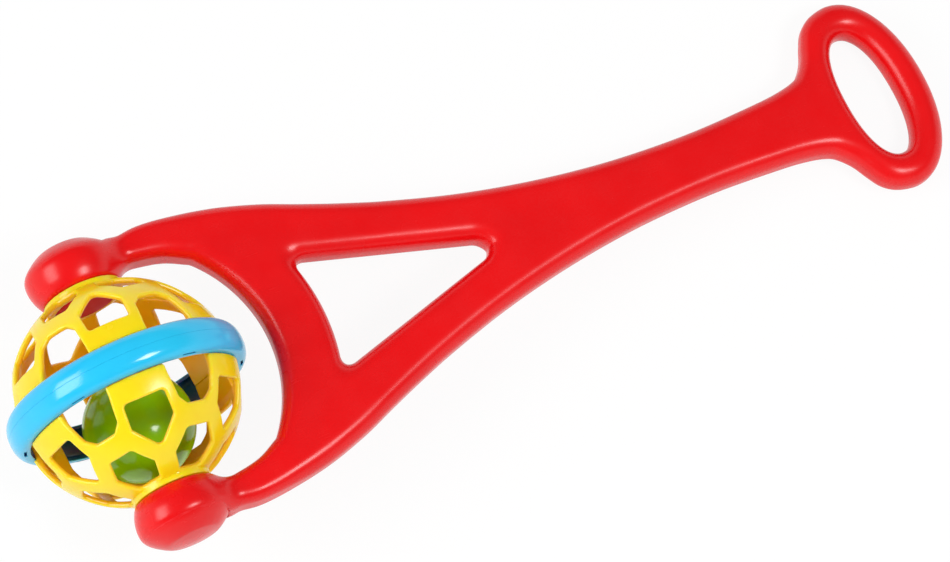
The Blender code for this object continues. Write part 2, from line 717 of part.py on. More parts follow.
def build():
    clear_scene()
    red = plastic("handle_red", (0.83, 0.006, 0.010), 0.28)
    yellow = plastic("cage_yellow", (0.95, 0.72, 0.008), 0.30)
    blue = plastic("ring_blue", (0.03, 0.56, 0.87), 0.26)
    green = plastic("rattle_green", (0.22, 0.40, 0.005), 0.30)
    cream = plastic("bead_cream", (0.80, 0.74, 0.58), 0.45)

    pitch = rest_pitch()
    tip_x = (HANDLE_LENGTH - BAR_ROUND) * math.cos(pitch) + BAR_ROUND
    tip_x += (HANDLE_THICKNESS / 2 - BAR_ROUND) * math.sin(pitch)
    centre = Vector(((RING_RADIUS - tip_x) / 2, 0, RING_RADIUS))

    handle = make_handle(red)
    handle.location = centre
    handle.rotation_euler = (0, pitch, 0)
    for item in bpy.data.objects:
        if item.name.startswith("boss_"):
            item.parent = handle

    ball_axis = axis_empty("ball_axis", centre)
    rattle_axis = axis_empty("rattle_axis", centre)
    rattle_centre = Vector((0, -RATTLE_SIDE_OFFSET, -RATTLE_DROP))
    bead_axis = axis_empty("bead_axis", rattle_centre, rattle_axis)

    for name, side in (("left", 1.0), ("right", -1.0)):
        cap = turned_piece("boss_cap_" + name, cap_profile(), BOSS_SIDES, red, side)
        plug = turned_piece("axle_plug_" + name, plug_profile(), BORE_SIDES, red, side)
        for item in (cap, plug):
            item.location = centre
        make_cage_half(name, side, yellow).parent = ball_axis
        make_ring_half(name, side, blue).parent = ball_axis
        for item in bpy.data.objects:
            if item.name in ("cage_windows_" + name, "clip_slots_" + name):
                item.parent = ball_axis

    for name, turn, lip in (("upper", math.pi / 2, False), ("lower", -math.pi / 2, True)):
        half = turned_piece("rattle_half_" + name, rattle_profile(lip), RATTLE_SIDES, green)
        half.parent = rattle_axis
        half.location = rattle_centre
        half.rotation_euler = (turn, 0, 0)

    spread = 2.0 * math.asin((BEAD_RADIUS + GAP) / BEAD_ORBIT)
    places = [Vector((0, 0, -BEAD_ORBIT))]
    for k in range(BEADS_ROUND):
        turn = 2.0 * math.pi * k / BEADS_ROUND
        across = BEAD_ORBIT * math.sin(spread)
        places.append(
            Vector((across * math.cos(turn), across * math.sin(turn), -BEAD_ORBIT * math.cos(spread)))
        )
    for k, place in enumerate(places):
        make_bead("rattle_bead_%d" % (k + 1), place, cream).parent = bead_axis


build()
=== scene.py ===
# %% [markdown]
# # A push-along rattle toy
#
# The toy is a long flat handle with an oval grip and a yoke. A ball of open cagework turns
# between the yoke's two bosses, with a ring round its equator and a loose rattle ball inside.
# This script dresses the plain solids of the CAD part: it brings them in as a fixed frame,
# then makes a finer skin for each piece that shows, paints it and lights it.

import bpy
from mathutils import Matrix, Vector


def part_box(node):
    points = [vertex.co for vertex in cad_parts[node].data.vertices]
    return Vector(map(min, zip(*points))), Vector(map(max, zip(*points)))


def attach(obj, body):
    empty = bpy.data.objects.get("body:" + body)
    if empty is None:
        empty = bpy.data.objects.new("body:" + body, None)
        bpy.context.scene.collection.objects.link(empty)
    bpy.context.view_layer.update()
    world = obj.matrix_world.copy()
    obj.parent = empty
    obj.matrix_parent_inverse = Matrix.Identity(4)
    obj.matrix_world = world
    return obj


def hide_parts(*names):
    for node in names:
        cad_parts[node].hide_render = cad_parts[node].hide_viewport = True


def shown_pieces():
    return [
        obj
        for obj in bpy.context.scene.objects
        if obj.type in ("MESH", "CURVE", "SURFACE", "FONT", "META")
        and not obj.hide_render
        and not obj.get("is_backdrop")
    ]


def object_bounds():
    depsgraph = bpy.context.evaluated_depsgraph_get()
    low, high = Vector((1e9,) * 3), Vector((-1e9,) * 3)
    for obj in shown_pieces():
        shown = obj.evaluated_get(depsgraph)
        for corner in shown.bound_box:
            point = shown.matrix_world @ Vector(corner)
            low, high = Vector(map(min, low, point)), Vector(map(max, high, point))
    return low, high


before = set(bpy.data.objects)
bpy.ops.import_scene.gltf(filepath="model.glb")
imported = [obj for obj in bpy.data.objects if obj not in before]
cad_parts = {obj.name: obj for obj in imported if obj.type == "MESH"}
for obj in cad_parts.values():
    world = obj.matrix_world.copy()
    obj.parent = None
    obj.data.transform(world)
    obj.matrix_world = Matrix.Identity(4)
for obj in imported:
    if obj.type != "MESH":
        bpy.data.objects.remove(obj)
cad_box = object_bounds()

# %% [markdown]
# A new scene may hold Blender's own cube, lamp and camera. They are taken out, so that only
# the toy and what lights it are left.

# %% Tools
import math

import bpy
import numpy as np
from mathutils import Matrix, Vector

for name in ("Cube", "Light", "Camera"):
    if name in bpy.data.objects:
        bpy.data.objects.remove(bpy.data.objects[name])

# %% [markdown]
# ## Units and places
#
# Blender works in metres. The toy's sizes below are in millimetres, because that is how such
# a toy is drawn, and they are turned to metres when a mesh or a material is made. The floor,
# the lamps and the camera are placed in metres. The ball turns on the axle, so its centre is
# the place that the rest is measured from. The handle lies on the table at a slight slope: the
# toy is thicker at the ball's end than at the grip's.

# %% Units and places
MM = 0.001
ring_low, ring_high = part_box("ring_half_left")
BALL_CENTRE = np.array(
    [(ring_low.x + ring_high.x) / 2, 0.0, (ring_low.z + ring_high.z) / 2]
) / MM
PITCH = math.radians(6.6446)
HANDLE_TO_WORLD = np.array(
    [
        [math.cos(PITCH), 0.0, math.sin(PITCH)],
        [0.0, 1.0, 0.0],
        [-math.sin(PITCH), 0.0, math.cos(PITCH)],
    ]
)
print("ball centre in mm", BALL_CENTRE.round(3))


def in_handle(points):
    """Turns points of the handle's own plane, in mm from the ball's centre, to the world:
    a turn about the axle by the pitch, then a shift to the ball's centre."""
    return points @ HANDLE_TO_WORLD.T + BALL_CENTRE


def in_ball(points):
    """Shifts points in mm from the ball's centre to the world."""
    return points + BALL_CENTRE


# %% [markdown]
# ## Two ways to make a surface
#
# Some pieces have the shape of work from a lathe: a ring, a ball, a cap. They are a profile
# carried round an axis. Others have no single profile, like the handle with its soft corners.
# For those we write a distance function, which says how far any point lies outside the
# plastic, and then stretch a net of small quads over the places where it is zero. Distances
# can be joined with soft corners, such as a mould leaves.

# %% From arrays to a piece


def make_piece(name, points, faces, body, crease=40.0):
    """A mesh object from an array of points in world mm and a list of arrays of quads or
    triangles, smooth except over edges that turn by more than the crease angle."""
    mesh = bpy.data.meshes.new(name)
    corners = np.concatenate([group.ravel() for group in faces])
    sizes = np.concatenate([np.full(len(group), group.shape[1]) for group in faces])
    starts = np.concatenate([[0], np.cumsum(sizes)[:-1]])
    mesh.vertices.add(len(points))
    mesh.vertices.foreach_set("co", (points * MM).astype(np.float32).ravel())
    mesh.loops.add(len(corners))
    mesh.loops.foreach_set("vertex_index", corners.astype(np.int32))
    mesh.polygons.add(len(sizes))
    mesh.polygons.foreach_set("loop_start", starts.astype(np.int32))
    mesh.update(calc_edges=True)
    mesh.shade_smooth()
    mesh.set_sharp_from_angle(angle=math.radians(crease))
    piece = bpy.data.objects.new(name, mesh)
    bpy.context.scene.collection.objects.link(piece)
    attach(piece, body)
    print(name, len(points), "points,", len(sizes), "faces")
    return piece


# %% [markdown]
# The net is made as follows. Space is cut into small cubes. Where the distance changes sign
# along a cube's edge, the surface passes. Each such cube gets one point, at the mean of its
# crossings, and the four cubes round a crossed edge make a quad. The points then slide along
# the steepest way onto the surface, and are evened out along it, so the gloss runs clean.

# %% A skin over a distance function
FLATTEST = 0.05
SETTLE_ROUNDS = 3
EVEN_ROUNDS = 2


def slope(distance, points, step=0.02):
    """Distance and its gradient at the points, by small steps along each axis."""
    here = distance(*points.T)
    ahead = [distance(*(points + step * np.eye(3)[k]).T) for k in range(3)]
    return here, (np.stack(ahead, axis=1) - here[:, None]) / step


def settle(distance, points, cell):
    """One step onto the surface: each point moves against the gradient by the distance over
    the gradient's length, and by no more than half a cell. The squared length is taken as
    no less than the flattest that we trust."""
    here, gradient = slope(distance, points)
    length = np.sqrt(np.maximum((gradient**2).sum(axis=1), FLATTEST))
    move = np.clip(here / length, -cell / 2, cell / 2)
    return points - gradient / length[:, None] * move[:, None]


def even_out(distance, points, faces, share=0.5):
    """Moves each point by a share of the way to the mean of its neighbours, but only along
    the surface."""
    total = np.zeros_like(points)
    count = np.zeros(len(points))
    for k in range(4):
        this, following = faces[:, k], faces[:, (k + 1) % 4]
        for a, b in ((this, following), (following, this)):
            for axis in range(3):
                total[:, axis] += np.bincount(a, points[b, axis], len(points))
            count += np.bincount(a, minlength=len(points))
    shift = total / count[:, None] - points
    gradient = slope(distance, points)[1]
    normal = gradient / np.linalg.norm(gradient, axis=1)[:, None].clip(1e-6)
    shift -= (shift * normal).sum(axis=1)[:, None] * normal
    return points + share * shift


def cell_beside(index, axis, u, v):
    """The cells that lie u and v steps back from crossed edges along the other two axes. An
    edge's index gives its place along its own axis first."""
    others = [k for k in range(3) if k != axis]
    spot = np.empty_like(index)
    spot[:, axis] = index[:, 0]
    spot[:, others[0]] = index[:, 1] - u
    spot[:, others[1]] = index[:, 2] - v
    return spot


def skin(distance, low, high, cell):
    """Points and outward quads of the surface where distance(x, y, z) is zero, between two
    corners in mm, from cubes of the given size. An edge from value a to value b is crossed at
    the share a / (a - b) of its length."""
    axes = [np.arange(low[k], high[k] + cell, cell) for k in range(3)]
    value = distance(*np.meshgrid(*axes, indexing="ij", sparse=True))
    cells = tuple(np.array(value.shape) - 1)
    total = np.zeros(cells + (3,))
    count = np.zeros(cells)
    crossed = []
    for axis in range(3):
        first = np.moveaxis(value, axis, 0)[:-1]
        second = np.moveaxis(value, axis, 0)[1:]
        change = (first < 0) != (second < 0)
        index = np.argwhere(change)
        place = cell_beside(index, axis, 0, 0).astype(float)
        place[:, axis] += first[change] / (first[change] - second[change])
        place = np.array(low) + cell * place
        for u, v in ((0, 0), (0, 1), (1, 0), (1, 1)):
            spot = cell_beside(index, axis, u, v)
            ok = ((spot >= 0) & (spot < cells)).all(axis=1)
            flat = np.ravel_multi_index(spot[ok].T, cells)
            for k in range(3):
                total[..., k].reshape(-1)[:] += np.bincount(flat, place[ok, k], count.size)
            count.reshape(-1)[:] += np.bincount(flat, minlength=count.size)
        crossed.append((axis, index, first[change] < 0))
    used = count > 0
    number = np.full(cells, -1)
    number[used] = np.arange(used.sum())
    points = total[used] / count[used][:, None]
    faces = []
    for axis, index, leaves in crossed:
        around = [cell_beside(index, axis, u, v) for u, v in ((1, 1), (0, 1), (0, 0), (1, 0))]
        quad = np.stack([number[tuple(spot.T)] for spot in around], axis=1)
        turn = leaves if axis != 1 else ~leaves
        quad[~turn] = quad[~turn, ::-1]
        faces.append(quad)
    faces = np.concatenate(faces)
    for _ in range(SETTLE_ROUNDS):
        points = settle(distance, points, cell)
    for _ in range(EVEN_ROUNDS):
        points = settle(distance, even_out(distance, points, faces), cell)
    points = settle(distance, points, cell)
    return points, faces


# %% [markdown]
# The smaller of two distances is the union of their shapes, and the larger is what the shapes
# share. The two functions below do the same with a soft corner, as a mould's cutter leaves
# one, and take its reach or its radius as well.

# %% Joining distances


def soft_union(a, b, reach):
    """The smaller of two distances, with a fillet where they differ by less than reach."""
    near = np.maximum(reach - np.abs(a - b), 0.0) / reach
    return np.minimum(a, b) - near * near * reach / 4


def round_meet(a, b, radius):
    """The larger of two distances, with an arc of that radius along the edge they share."""
    u = np.maximum(a + radius, 0.0)
    v = np.maximum(b + radius, 0.0)
    return np.minimum(np.maximum(a, b), -radius) + np.sqrt(u * u + v * v)


# %% [markdown]
# ## The handle
#
# This is taken to be one hollow moulding in red polyethylene, blown in a mould: it has flat
# faces, softly rounded edges, a bar at the grip that is nearly round, and a barrel-shaped
# boss at the end of each arm. Its outline was read off as a few points on one side, and a
# smooth curve is drawn through them. The other side is the mirror image. Where the curve
# runs into the grip's oval, a point further on along the oval gives it its direction, and the
# stretch to that point is dropped again.

# %% The handle's outline
OUTER_EDGE = [
    (0.0, 72.3), (22.0, 73.1), (37.0, 74.9), (57.0, 73.3), (76.0, 69.9), (97.0, 63.5),
    (116.0, 55.9), (135.0, 48.6), (156.0, 41.3), (187.1, 32.2), (218.0, 25.3), (249.1, 20.3),
    (279.9, 17.3), (316.1, 16.2), (352.3, 17.7), (367.7, 19.2), (378.1, 21.7), (383.1, 25.2),
    (387.8, 31.0), (391.5, 38.2), (396.1, 45.6), (403.0, 50.6), (412.7, 52.8),
]
INNER_EDGE = [(55.0, 49.5), (43.7, 55.3), (31.8, 57.9), (17.8, 59.3), (0.0, 59.5)]
GRIP_CENTRE = 412.7
GRIP_HALF = (31.1, 52.8)
GRIP_POWER = 2.1
GRIP_HOLE_HALF = (14.2, 34.7)
GRIP_HOLE_POWER = 2.2
YOKE_RADIUS = 74.0
YOKE_END = 42.0
ARM_END_CENTRE = (0.0, 65.9)
ARM_END_RADIUS = 6.4
CUTOUT_BASE_RADIUS = 104.0
CUTOUT_HALF_WIDTHS = (31.3, 4.0)
CUTOUT_TIP = 193.0
CUTOUT_CORNERS = (7.0, 5.5)
CURVE_STEPS = 8
LEAD = 10


def curve_through(points, steps):
    """Catmull-Rom curve: each stretch is a cubic that leaves its two points in the direction
    of their neighbours."""
    p = np.array(points, float)
    p = np.vstack([2 * p[0] - p[1], p, 2 * p[-1] - p[-2]])
    a, b, c, d = (p[k : len(p) - 3 + k, None, :] for k in range(4))
    t = (np.arange(steps) / steps)[None, :, None]
    cubic = 2 * b + (c - a) * t + (2 * a - 5 * b + 4 * c - d) * t**2
    cubic = cubic + (3 * b - a - 3 * c + d) * t**3
    return np.vstack([(cubic / 2).reshape(-1, 2), p[-2]])


def oval(centre, half, power, start, end, steps):
    """Part of a superellipse: the cosine and sine of the angle are raised to 2 over the
    power, which flattens its four sides a little."""
    angle = np.radians(np.linspace(start, end, steps + 1))
    across = np.stack([np.cos(angle), np.sin(angle)], axis=1)
    bent = np.sign(across) * np.abs(across) ** (2 / power)
    return np.array([centre, 0.0]) + bent * np.array(half)


def circle_arc(centre, radius, start, end, steps):
    """Points on a circle, by angle in degrees from +X."""
    angle = np.radians(np.linspace(start, end, steps + 1))
    return np.array(centre) + radius * np.stack([np.cos(angle), np.sin(angle)], axis=1)


tip = oval(GRIP_CENTRE, GRIP_HALF, GRIP_POWER, 0, 90, 60)
outer = curve_through(OUTER_EDGE + [tuple(tip[-LEAD])], CURVE_STEPS)[:-CURVE_STEPS]
arm_end = circle_arc(ARM_END_CENTRE, ARM_END_RADIUS, 90, 270, 16)
inner = curve_through(INNER_EDGE, CURVE_STEPS)
yoke = circle_arc((0.0, 0.0), YOKE_RADIUS, YOKE_END, 0, 40)
HANDLE_HALF = np.vstack([tip[:-1], outer[::-1][:-1], arm_end[:-1], inner[::-1][:-1], yoke])
print("outline of one half:", len(HANDLE_HALF), "points")

# %% [markdown]
# How far is a point from an outline? The nearest place on each short side is found by
# sliding along it, and the nearest side wins. A point is inside if a line from it towards +X
# meets the outline an odd number of times. Both are worked out for all points at once.

# %% Distance to an outline in the plane


def outline_distance(outline, x, y):
    """Signed distance from points to an outline of half a shape that is its own mirror image
    in the X axis: below zero inside. The outline starts and ends on that axis."""
    shape = np.broadcast(x, y).shape
    px = np.broadcast_to(x, shape).ravel()
    py = np.abs(np.broadcast_to(y, shape)).ravel()
    nearest = np.full(px.size, 1e9)
    inside = np.zeros(px.size, bool)
    for (ax, ay), (bx, by) in zip(outline[:-1], outline[1:]):
        dx, dy = bx - ax, by - ay
        share = ((px - ax) * dx + (py - ay) * dy) / (dx * dx + dy * dy)
        share = np.clip(share, 0.0, 1.0)
        off_x = px - ax - share * dx
        off_y = py - ay - share * dy
        nearest = np.minimum(nearest, off_x * off_x + off_y * off_y)
        if ay != by:
            spans = (ay > py) != (by > py)
            inside ^= spans & (px < ax + (py - ay) * dx / dy)
    distance = np.sqrt(nearest)
    return np.where(inside, -distance, distance).reshape(shape)


HOLE_HALF = oval(GRIP_CENTRE, GRIP_HOLE_HALF, GRIP_HOLE_POWER, 0, 180, 90)


def cutout_distance(x, y):
    """Distance to the triangular cut-out, below zero in the opening: the space beyond the
    base arc, inside both slanting sides and short of the tip, with rounded corners."""
    base_half, tip_half = CUTOUT_HALF_WIDTHS
    base_x = math.sqrt(CUTOUT_BASE_RADIUS**2 - base_half**2)
    run, rise = CUTOUT_TIP - base_x, base_half - tip_half
    side = ((x - base_x) * rise + (np.abs(y) - base_half) * run) / math.hypot(run, rise)
    base = CUTOUT_BASE_RADIUS - np.hypot(x, y)
    wide = round_meet(base, side, CUTOUT_CORNERS[0])
    return round_meet(wide, x - CUTOUT_TIP, CUTOUT_CORNERS[1])


# %% [markdown]
# The plate is everything inside the outline and outside the cut-out and the grip's hole. Its
# edge is rounded more at the grip, for a child's palm, than along the stem. Each boss is a
# barrel turned about the axle, drawn by a profile as well: a short round-edged collar next to
# the cage, a nearly straight middle and a bend where it starts to close. Where the arm runs
# into the boss the mould leaves a fillet. The edge's radius grows in three stretches, from
# the arms' ends to the arms, the stem and the grip.

# %% The handle's distance
HALF_THICKNESS = 10.0
EDGE_ROUNDS = (2.0, 6.2, 8.2, 9.0)
ARM_CHANGE = 14.3
GRIP_CHANGE = 27.0
BOSS_PROFILE = [
    (54.0, 0.0), (54.0, 18.4), (54.3, 19.6), (55.4, 20.7), (57.4, 21.7), (60.0, 22.7),
    (64.0, 23.5), (67.5, 23.5), (69.6, 23.0), (71.4, 21.9), (71.4, 0.0),
]
boss_curve = curve_through(BOSS_PROFILE[1:-1], 4)
BOSS_HALF = np.vstack([BOSS_PROFILE[:2], boss_curve[1:], BOSS_PROFILE[-1:]])
BOSS_FILLET = 7.5
BOSS_ZONE = 40.0
BORE_STEPS = [(50.0, 68.0, 16.0), (67.8, 71.0, 18.1), (70.9, 80.0, 19.9)]
FAR_OFF = 20.0


def ease(value):
    """Zero to one with a soft start and end: three squares less two cubes."""
    value = np.clip(value, 0.0, 1.0)
    return value * value * (3.0 - 2.0 * value)


def handle_distance(x, y, z):
    """Distance to the handle in its own plane's coordinates. Plate: a box in depth met with
    the outline in the plane, round-edged. Bosses: a profile's distance in the plane of
    distance along the axle and distance from it, which is only worked out near them. Both are
    joined with a fillet, and the stepped bore for the axle plug is taken out: each step has a
    start, an end and a radius."""
    flat = outline_distance(HANDLE_HALF, x, y)
    flat = np.maximum(flat, -outline_distance(HOLE_HALF, x, y))
    flat = np.maximum(flat, -cutout_distance(x, y))
    small, arm, plain, grip = EDGE_ROUNDS
    edge = small + (arm - small) * ease(x / ARM_CHANGE)
    edge = edge + (plain - arm) * ease(2.0 * x / YOKE_RADIUS - 1.0)
    edge = edge + (grip - plain) * ease((x - GRIP_CENTRE + GRIP_HALF[0]) / GRIP_CHANGE)
    plate = round_meet(flat, np.abs(z) - HALF_THICKNESS, edge)
    shape = np.broadcast(x, y, z).shape
    along = np.broadcast_to(np.abs(y), shape)
    out = np.broadcast_to(np.hypot(x, z), shape)
    close = (out < BOSS_ZONE) & (along > BOSS_ZONE)
    boss = np.full(shape, FAR_OFF)
    boss[close] = outline_distance(BOSS_HALF, along[close], out[close])
    solid = soft_union(plate, boss, BOSS_FILLET)
    for start, end, radius in BORE_STEPS:
        bore = np.maximum(np.maximum(start - along, along - end), out - radius)
        solid = np.maximum(solid, -bore)
    return solid


print("profile of a boss:", len(BOSS_HALF), "points")

# %% [markdown]
# The net's cubes are about a millimetre wide, which is fine enough for the smallest rounding.
# The finished points are tilted into the toy's slope.

# %% The handle's skin
HANDLE_CELL = 1.1
HANDLE_LOW, HANDLE_HIGH = (-27.0, -79.0, -26.0), (448.0, 79.0, 26.0)
points, quads = skin(handle_distance, HANDLE_LOW, HANDLE_HIGH, HANDLE_CELL)
handle = make_piece("handle_moulding", in_handle(points), [quads], "handle")
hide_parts("handle")

# %% [markdown]
# ## Turned pieces
#
# A cap, a ring and a ball shell are all a profile carried round an axis. The profile is a
# row of points: how far along the axis, and how far out from it. Where it touches the axis,
# the pole is closed with a fan of triangles.

# %% A profile carried round an axis


def turned(profile, angles, closed=False):
    """Points and faces of a profile of (along, out) turned about the Y axis: x is out times
    the sine of the angle and z is out times its cosine. A closed profile is a loop, as of a
    ring; an open one starts and ends on the axis."""
    profile = np.asarray(profile, float)
    rows = profile if closed else profile[1:-1]
    count, sides = len(rows), len(angles)
    along, out = rows[:, :1], rows[:, 1:]
    x = out * np.sin(angles)[None, :]
    y = np.broadcast_to(along, x.shape)
    z = out * np.cos(angles)[None, :]
    points = np.stack([x, y, z], axis=-1).reshape(-1, 3)
    i = np.arange(count if closed else count - 1)[:, None]
    j = np.arange(sides)[None, :]
    this, following, beside = i * sides, (i + 1) % count * sides, (j + 1) % sides
    corners = [this + j, this + beside, following + beside, following + j]
    quads = np.stack(corners, axis=-1).reshape(-1, 4)
    if closed:
        return points, [quads]
    points = np.vstack([points, [0.0, profile[0, 0], 0.0], [0.0, profile[-1, 0], 0.0]])
    j = j.ravel()
    beside = (j + 1) % sides
    first = np.full(sides, count * sides)
    last = first + 1
    row = (count - 1) * sides
    start_fan = np.stack([first, beside, j], axis=1)
    end_fan = np.stack([last, row + j, row + beside], axis=1)
    return points, [quads, np.vstack([start_fan, end_fan])]


def mirrored(points, faces):
    """The same piece on the other side of the toy: Y changes sign, and each face is turned
    round so that it still points outwards."""
    return points * np.array([1.0, -1.0, 1.0]), [group[:, ::-1] for group in faces]


def full_turn(sides):
    """Evenly spaced angles round a full turn."""
    return 2.0 * math.pi * np.arange(sides) / sides


def on_side(points, faces, side):
    """The piece as made for the left, or mirrored for the right."""
    return (points, faces) if side == "left" else mirrored(points, faces)


# %% [markdown]
# ### Boss caps
#
# The end of each boss is taken as a cap of its own, set over the boss's open end and the head
# of the axle plug. It closes in a slope to a nearly flat disc, whose rim is the ridge that
# shows on the nearer boss, and its outer rim overlaps the boss's edge a little. The plug is a
# cup: its closed end is the red disc that shows inside the cage's end ring, which turns on it.

# %% Boss caps and plugs
CAP_PROFILE = [
    (70.6, 0.0), (70.6, 22.3), (70.7, 22.42), (71.4, 21.97), (73.0, 20.5), (74.6, 18.6),
    (76.1, 16.6), (77.3, 14.8), (77.95, 13.6), (78.3, 12.6), (78.6, 11.0), (79.1, 8.0),
    (79.6, 4.0), (79.8, 0.0),
]
PLUG_PROFILE = [
    (48.0, 0.0), (48.0, 14.9), (48.06, 15.25), (48.3, 15.55), (48.7, 15.7), (68.1, 15.7),
    (68.1, 17.8), (70.6, 17.8), (70.6, 13.5), (50.2, 13.5), (50.2, 0.0),
]
CAP_SIDES, PLUG_SIDES = 180, 120
cap_curve = np.vstack([CAP_PROFILE[:3], curve_through(CAP_PROFILE[3:], 5)])
for side in ("left", "right"):
    points, faces = on_side(*turned(cap_curve, full_turn(CAP_SIDES)), side)
    cap = make_piece("cap_dome_" + side, in_ball(points), faces, "handle")
    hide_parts("boss_cap_" + side)
    points, faces = on_side(*turned(PLUG_PROFILE, full_turn(PLUG_SIDES)), side)
    plug = make_piece("axle_cup_" + side, in_ball(points), faces, "handle")
    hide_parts("axle_plug_" + side)

# %% [markdown]
# ### The ring
#
# Two glossy shells in sky-blue plastic clip together over the ball's equator. Their section
# is a flattened oval with a hollow under it; from inside the ball that hollow is a channel
# in shade, and the shade is painted into the ring's colour as a deep navy. A hairline seam runs
# along the crest, and short slots for the moulding's clips show low on the flank, at the same
# turns about the axle as the cage's windows. The slots are pressed into the same grid of points:
# the rows and columns at a slot's border come in pairs, a hair apart, and only the inner ones
# sink.

# %% The ring
RING_RADIUS = 60.5
RING_FOOT = 54.69
RING_HALF_WIDTH = 8.8
RING_WALL = 1.8
RING_SEAT = 53.1
RING_POWER = 2.3
RING_SIDES = 480
FOOT_ROUND = 0.3
SEAM = 0.015
SEAM_CLEAR = 0.2
SEAM_LIP = [(0.15, 0.0), (0.04, 0.02), (0.0, 0.12)]
WINDOW_TURN = 32.6
SLOT_LENGTH = 7.5
SLOT_BAND = (55.15, 56.45)
SLOT_DEPTH = 1.3
PAIR = 0.03


def bulge(share):
    """Quarter of a superellipse from the flank (share 0) to the crest (share 1)."""
    angle = 0.5 * math.pi * share
    return np.abs(np.cos(angle)) ** (2 / RING_POWER), np.abs(np.sin(angle)) ** (2 / RING_POWER)


def ring_section():
    """Closed loop of (along, out): up the outside, over the lip at the seam, down the inside
    and along the foot. Also the number of its points that are on the outside."""
    rise = RING_RADIUS - RING_FOOT
    high = bulge(np.linspace(0.0, 1.0, 41))[1]
    paired = [border + hair for border in SLOT_BAND for hair in (-PAIR, PAIR)]
    out = np.sort(np.concatenate([RING_FOOT + rise * high, paired]))
    level = np.clip((out - RING_FOOT) / rise, 0.0, 1.0)
    along = RING_HALF_WIDTH * (1.0 - level**RING_POWER) ** (1 / RING_POWER)
    outside = np.stack([along, out], axis=1)
    outside = outside[outside[:, 0] > SEAM + SEAM_CLEAR]
    crest = np.array([(SEAM + wide, RING_RADIUS - deep) for wide, deep in SEAM_LIP])
    hollow = RING_HALF_WIDTH - RING_WALL
    wide, high = bulge(np.linspace(1.0, 0.0, 25))
    inner = np.stack([hollow * wide, RING_FOOT + (rise - RING_WALL) * high], axis=1)
    inner[:, 0] = np.maximum(inner[:, 0], SEAM)
    foot = [
        (hollow, RING_SEAT),
        (RING_HALF_WIDTH - FOOT_ROUND, RING_SEAT),
        (RING_HALF_WIDTH, RING_SEAT + FOOT_ROUND),
    ]
    return np.vstack([outside, crest, inner, foot]), len(outside)


def ring_angles():
    """Even angles round the ring, with a pair a hair apart at each slot's two ends. Also the
    angles of the slots' middles and half a slot's length as an angle."""
    reach = SLOT_LENGTH / 2 / np.mean(SLOT_BAND)
    hair = PAIR / np.mean(SLOT_BAND)
    middles = np.radians(WINDOW_TURN + 60.0 * np.arange(6))
    ends = [middles + s * reach + t * hair for s in (-1, 1) for t in (-1, 1)]
    angles = np.concatenate([full_turn(RING_SIDES)] + ends)
    return np.sort(angles % (2 * math.pi)), middles, reach


section, rows_outside = ring_section()
angles, middles, slot_reach = ring_angles()
ring_points, ring_faces = turned(section, angles, closed=True)
grid = ring_points.reshape(len(section), len(angles), 3)
off = (angles[:, None] - middles[None, :] + math.pi) % (2 * math.pi) - math.pi
in_slot = np.abs(off).min(axis=1) < slot_reach
sunk_row = (section[:, 1] > SLOT_BAND[0]) & (section[:, 1] < SLOT_BAND[1])
sunk_row[rows_outside:] = False
grid[np.ix_(sunk_row, in_slot, [1])] -= SLOT_DEPTH
for side in ("left", "right"):
    points, faces = on_side(grid.reshape(-1, 3), ring_faces, side)
    ring = make_piece("ring_shell_" + side, in_ball(points), faces, "ball")
    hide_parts("ring_half_" + side)

# %% [markdown]
# ### The rattle ball
#
# A hollow ball in two green shells, which meet with a fine joint. It lies loose in the cage, a
# little towards one boss. Its shells are turned about an upright axis, so a turned shell is
# stood up by passing its three coordinates on: x becomes y, y becomes z and z becomes x.

# %% The rattle ball
RATTLE_PLACE = np.array([0.0, -12.0, -21.015])
RATTLE_RADIUS = 27.5
RATTLE_WALL = 2.0
RATTLE_LIP = [(0.15, RATTLE_WALL), (0.15, 0.3), (0.22, 0.09)]
RATTLE_SIDES = 144


def quarter(radius, start, end, count):
    """Profile of a quarter circle from one angle to another, in degrees from the equator:
    along is the radius times the sine, and out is the radius times the cosine."""
    rise = np.radians(np.linspace(start, end, count))
    return radius * np.stack([np.sin(rise), np.cos(rise)], axis=1)


inside = quarter(RATTLE_RADIUS - RATTLE_WALL, 90.0, 1.0, 40)
outside = quarter(RATTLE_RADIUS, 1.0, 90.0, 60)
outside[-1, 1] = inside[0, 1] = 0.0
lip = [(along, RATTLE_RADIUS - depth) for along, depth in RATTLE_LIP]
for name, sign in (("upper", 1.0), ("lower", -1.0)):
    points, faces = turned(np.vstack([inside, lip, outside]), full_turn(RATTLE_SIDES))
    points = points[:, [2, 0, 1]]
    if sign < 0:
        points = points * np.array([1.0, 1.0, -1.0])
        faces = [group[:, ::-1] for group in faces]
    half = make_piece("rattle_shell_" + name, in_ball(points + RATTLE_PLACE), faces, "rattle")
    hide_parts("rattle_half_" + name)

# %% [markdown]
# ### The cage
#
# The ball is a thin shell with windows in it, in two halves that meet at the equator under
# the ring. A window is cut towards the ball's centre, so its sides are planes through the
# centre. There are three kinds, in six equal slices: the first starts under the ring and
# narrows away from it, the second has five corners and points to the pole, and the third,
# next to the pole, has six. Each is given by its corners on one side, as latitude and as turn
# from the window's middle, in degrees.

